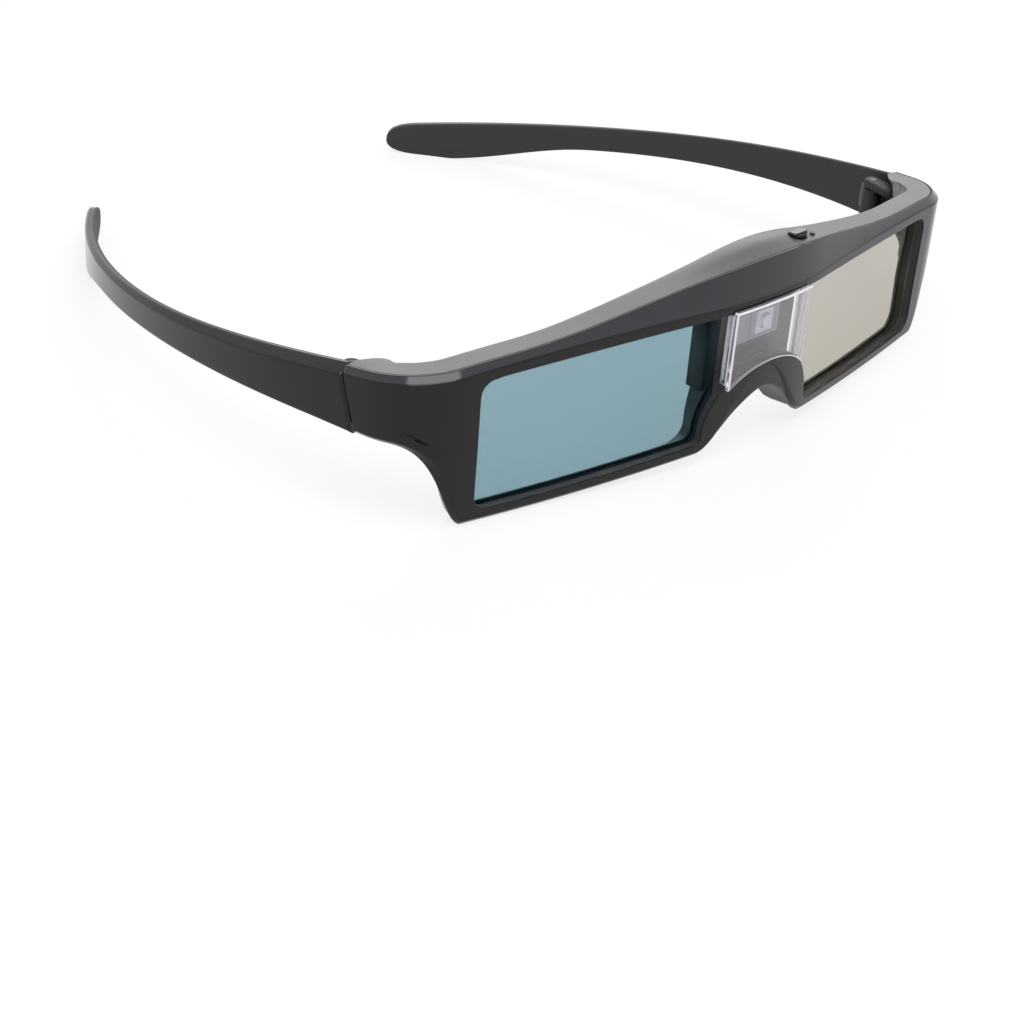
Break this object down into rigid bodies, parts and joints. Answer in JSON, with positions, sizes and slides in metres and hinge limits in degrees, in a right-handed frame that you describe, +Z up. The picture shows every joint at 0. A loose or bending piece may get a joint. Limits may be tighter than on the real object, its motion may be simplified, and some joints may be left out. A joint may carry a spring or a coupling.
{
  "type": "active shutter 3d glasses",
  "caption": "Active-shutter 3D viewing glasses: glossy wrap front with shutter lenses, sensor window over the nose, rubber nose saddle, power button and bowed folding temples.",
  "frame": {"origin": "middle of the glasses' outline seen from above, on the table that they stand on with open temples", "axes": "+Z up, -Y the way the wearer looks, -X the wearer's right; temples run back along +Y"},
  "size_m": [0.1692, 0.1628, 0.0422],
  "materials": {
    "gloss_black": "gloss",
    "matte_black": "matte",
    "clear_plastic": "clear",
    "nose_rubber": "matte",
    "lens_glass": "clear",
    "lens_film": "satin",
    "steel": "satin",
    "board": "satin",
    "chip": "matte",
    "pale_board": "satin",
    "diode": "gloss",
    "cell_foil": "satin",
    "flex": "satin",
    "light_pipe": "gloss"
  },
  "bodies": {
    "front": {"front_frame": "gloss_black", "rear_frame": "matte_black", "sensor_window": "clear_plastic", "nose_pad": "nose_rubber", "right_lens_cell": "lens_glass", "left_lens_cell": "lens_glass", "right_front_film": "lens_film", "left_front_film": "lens_film", "right_rear_film": "lens_film", "left_rear_film": "lens_film", "right_hinge_screw": "steel", "left_hinge_screw": "steel", "frame_screws": "steel", "circuit_board": "board", "control_chip": "chip", "sensor_board": "pale_board", "photodiode": "diode", "battery": "cell_foil", "charge_socket": "steel", "tact_switch": "pale_board", "indicator_light": "light_pipe", "right_lens_tail": "flex", "left_lens_tail": "flex"},
    "right_temple": {"right_temple": "gloss_black"},
    "left_temple": {"left_temple": "gloss_black"},
    "power_button": {"power_button": "gloss_black"}
  },
  "joints": [
    {"name": "right_temple_fold", "type": "hinge", "parent": "front", "child": "right_temple", "pos_m": [-0.0767, -0.04557, 0.023], "axis": [0, 0, -1], "range_deg": [0, 78]},
    {"name": "left_temple_fold", "type": "hinge", "parent": "front", "child": "left_temple", "pos_m": [0.0767, -0.04557, 0.023], "axis": [0, 0, 1], "range_deg": [0, 66]},
    {"name": "power_button_press", "type": "slide", "parent": "front", "child": "power_button", "axis": [0, 0, -1], "range_m": [0, 0.0005], "stiffness_N_per_m": 300}
  ]
}
